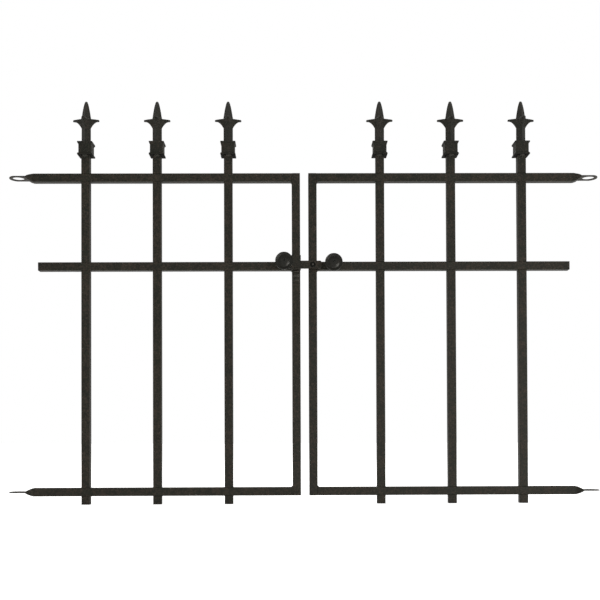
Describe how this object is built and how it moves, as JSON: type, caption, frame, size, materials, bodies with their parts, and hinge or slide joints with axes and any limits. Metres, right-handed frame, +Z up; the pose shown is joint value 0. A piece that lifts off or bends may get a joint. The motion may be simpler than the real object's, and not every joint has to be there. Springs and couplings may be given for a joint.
{
  "type": "garden gate",
  "caption": "Low double garden gate of square steel tube, with spear-topped pickets, flat hinge eyes at its outer ends and a pivoting latch lever with pull knobs.",
  "frame": {"origin": "centre of the left leaf's bottom hinge eye, halfway through its thickness", "axes": "+X across the gate from the left leaf to the right leaf, +Y from the front to the back, +Z up along the hinge axis"},
  "size_m": [1.1354, 0.0885, 0.777],
  "materials": {
    "tube_paint": "fine-textured satin black powder coat on steel tube",
    "cast_paint": "the same black coat over rough cast iron",
    "weld_paint": "black coat over weld beads",
    "strip_paint": "black coat on flat steel strip",
    "rivet_paint": "black coat, rubbed thin on the rivet's crown",
    "knob_paint": "smooth black enamel on turned iron knobs",
    "screw_zinc": "blackened zinc-plated screws"
  },
  "bodies": {
    "left_leaf": {"left_stile": "tube_paint", "left_bottom_rail": "tube_paint", "left_bottom_eye": "tube_paint", "left_top_rail": "tube_paint", "left_top_eye": "tube_paint", "left_mid_rail": "tube_paint", "left_picket_1_foot": "tube_paint", "left_picket_1_lower_bar": "tube_paint", "left_picket_1_upper_bar": "tube_paint", "left_picket_1_head": "tube_paint", "left_collar_1": "cast_paint", "left_finial_1": "cast_paint", "left_picket_2_foot": "tube_paint", "left_picket_2_lower_bar": "tube_paint", "left_picket_2_upper_bar": "tube_paint", "left_picket_2_head": "tube_paint", "left_collar_2": "cast_paint", "left_finial_2": "cast_paint", "left_picket_3_foot": "tube_paint", "left_picket_3_lower_bar": "tube_paint", "left_picket_3_upper_bar": "tube_paint", "left_picket_3_head": "tube_paint", "left_collar_3": "cast_paint", "left_finial_3": "cast_paint", "left_end_plugs": "tube_paint", "left_weld_beads": "weld_paint", "catch": "strip_paint"},
    "right_leaf": {"right_stile": "tube_paint", "right_bottom_rail": "tube_paint", "right_bottom_eye": "tube_paint", "right_top_rail": "tube_paint", "right_top_eye": "tube_paint", "right_mid_rail": "tube_paint", "right_picket_1_foot": "tube_paint", "right_picket_1_lower_bar": "tube_paint", "right_picket_1_upper_bar": "tube_paint", "right_picket_1_head": "tube_paint", "right_collar_1": "cast_paint", "right_finial_1": "cast_paint", "right_picket_2_foot": "tube_paint", "right_picket_2_lower_bar": "tube_paint", "right_picket_2_upper_bar": "tube_paint", "right_picket_2_head": "tube_paint", "right_collar_2": "cast_paint", "right_finial_2": "cast_paint", "right_picket_3_foot": "tube_paint", "right_picket_3_lower_bar": "tube_paint", "right_picket_3_upper_bar": "tube_paint", "right_picket_3_head": "tube_paint", "right_collar_3": "cast_paint", "right_finial_3": "cast_paint", "right_end_plugs": "tube_paint", "right_weld_beads": "weld_paint", "pivot_rivet": "rivet_paint", "pivot_spacer": "rivet_paint", "pull_knob": "knob_paint", "pull_knob_screw": "screw_zinc"},
    "lever": {"latch_lever": "strip_paint", "lever_knob": "knob_paint", "lever_knob_screw": "screw_zinc"}
  },
  "joints": [
    {"name": "right_leaf_swing", "type": "hinge", "parent": "left_leaf", "child": "right_leaf", "pos_m": [1.101, 0, 0], "axis": [0, 0, 1], "range_deg": [-90, 90]},
    {"name": "latch_lift", "type": "hinge", "parent": "right_leaf", "child": "lever", "pos_m": [0.5665, 0, 0.4335], "axis": [0, 1, 0], "range_deg": [0, 140]}
  ]
}
